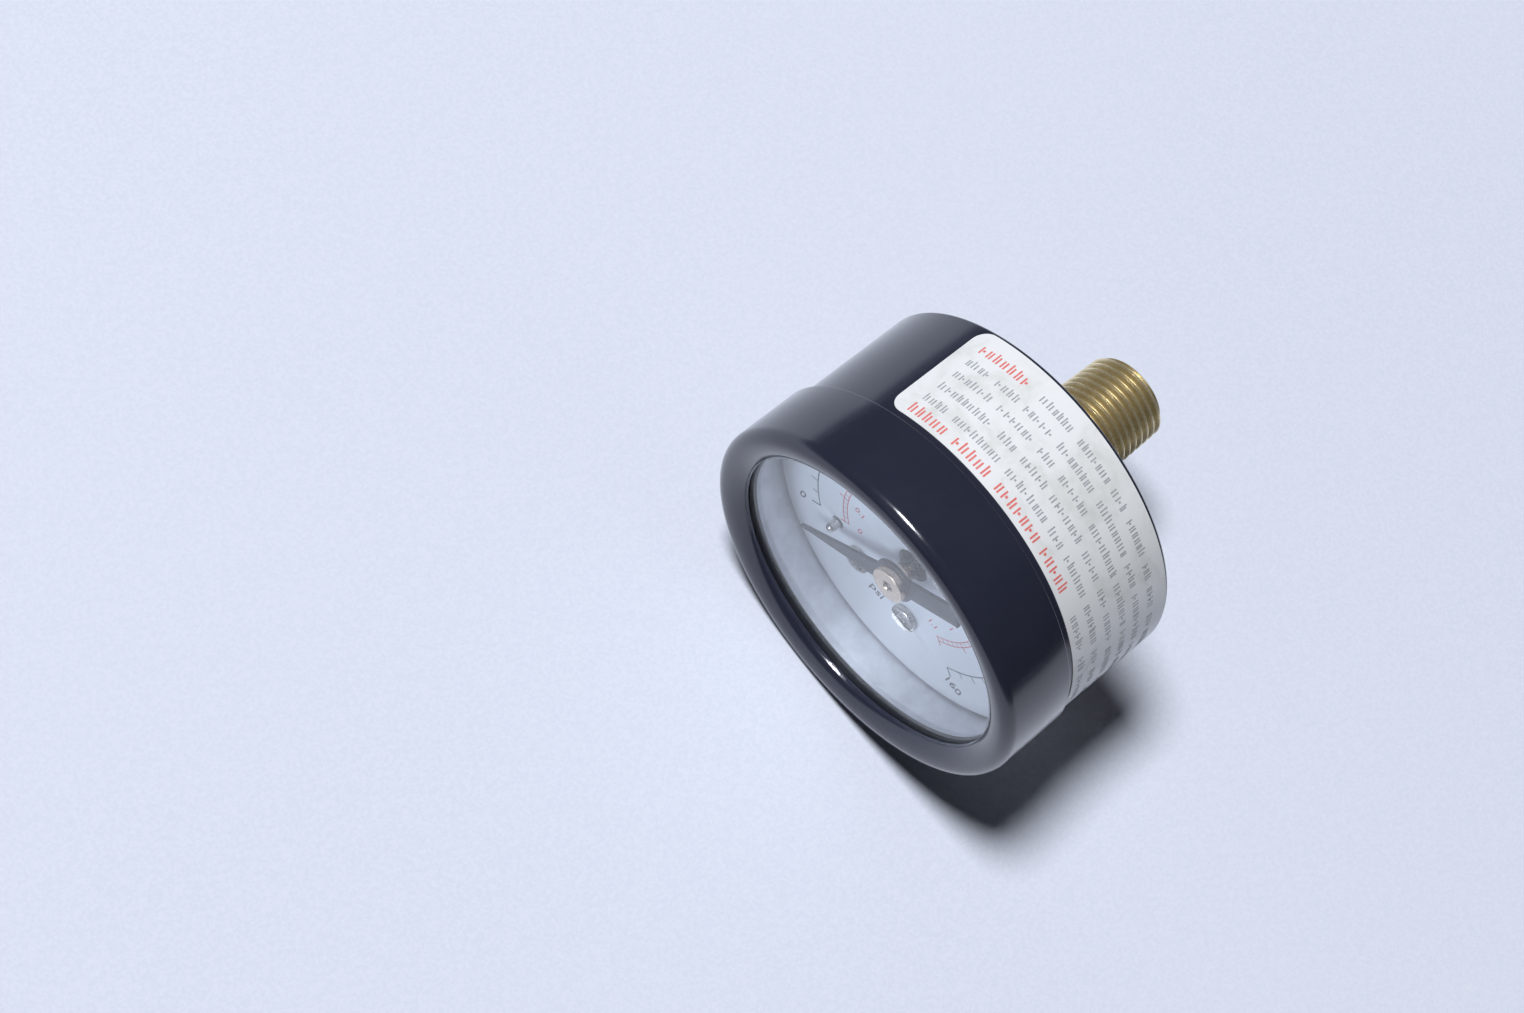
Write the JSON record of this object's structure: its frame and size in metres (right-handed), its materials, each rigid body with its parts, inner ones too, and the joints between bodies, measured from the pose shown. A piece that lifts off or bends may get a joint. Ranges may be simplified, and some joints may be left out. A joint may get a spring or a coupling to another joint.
{
  "type": "pressure gauge",
  "caption": "Small Bourdon-tube pressure gauge with a round black case, a rear threaded brass stem, a white dial and a geared pointer movement.",
  "frame": {"origin": "centre of the stem's end face, where the pipe thread starts", "axes": "+Y from the dial towards the stem along the gauge's axis, so the dial faces -Y; +Z to 12 o'clock on the dial; +X to 3 o'clock"},
  "size_m": [0.0426, 0.0401, 0.0426],
  "materials": {
    "black_paint": "gloss",
    "clear_window": "polished, clear",
    "rubber": "matte",
    "dial_face": "satin white, printed scale",
    "steel": "plated",
    "brass": "machined, lightly tarnished",
    "bronze": "drawn",
    "label_paper": "satin film, printed",
    "pointer_paint": "satin black"
  },
  "bodies": {
    "housing": {"case": "black_paint", "bezel": "black_paint", "window": "clear_window", "window_gasket": "rubber", "dial": "dial_face", "dial_screw_left": "steel", "dial_screw_right": "steel", "dial_spacer_left": "brass", "dial_spacer_right": "brass", "stop_pin": "steel", "socket": "brass", "restrictor": "brass", "case_screw_left": "steel", "case_screw_right": "steel", "front_plate": "brass", "rear_plate": "brass", "pillar_left": "brass", "pillar_right": "brass", "plate_screw_left": "steel", "plate_screw_right": "steel", "movement_screw_left": "steel", "movement_screw_right": "steel", "hairspring_stud": "brass", "hairspring": "bronze", "bourdon_tube": "bronze", "label": "label_paper"},
    "pointer_assembly": {"pointer": "pointer_paint", "pointer_hub": "brass", "pinion_arbor": "steel", "hairspring_collet": "brass"},
    "sector": {"sector_gear": "brass", "sector_arbor": "steel", "sector_pin": "steel"},
    "tip": {"tube_tip": "brass", "tip_pin": "steel"},
    "link_bar": {"link": "steel"}
  },
  "joints": [
    {"name": "sector_turn", "type": "hinge", "parent": "housing", "child": "sector", "pos_m": [0.00731, -0.0247, -0.00812], "axis": [0, 1, 0], "range_deg": [-22.33, 0], "stiffness_Nm_per_rad": 0.03},
    {"name": "pointer_turn", "type": "hinge", "parent": "housing", "child": "pointer_assembly", "pos_m": [0, -0.0287, 0], "axis": [0, 1, 0], "range_deg": [0, 268.01], "deforming": ["hairspring"]},
    {"name": "tip_swing", "type": "hinge", "parent": "housing", "child": "tip", "pos_m": [-0.00249, -0.02485, 0.00355], "axis": [0, 1, 0], "range_deg": [-4.47, 0], "deforming": ["bourdon_tube"]},
    {"name": "link_turn", "type": "hinge", "parent": "tip", "child": "link_bar", "pos_m": [0.01275, -0.02585, -0.00523], "axis": [0, 1, 0], "range_deg": [0, 7.54]}
  ],
  "couplings": [
    {"joint": "pointer_turn", "follows": "sector_turn", "ratio": -12},
    {"joint": "tip_swing", "follows": "sector_turn", "ratio": 0.20025},
    {"joint": "link_turn", "follows": "sector_turn", "ratio": -0.33743}
  ]
}
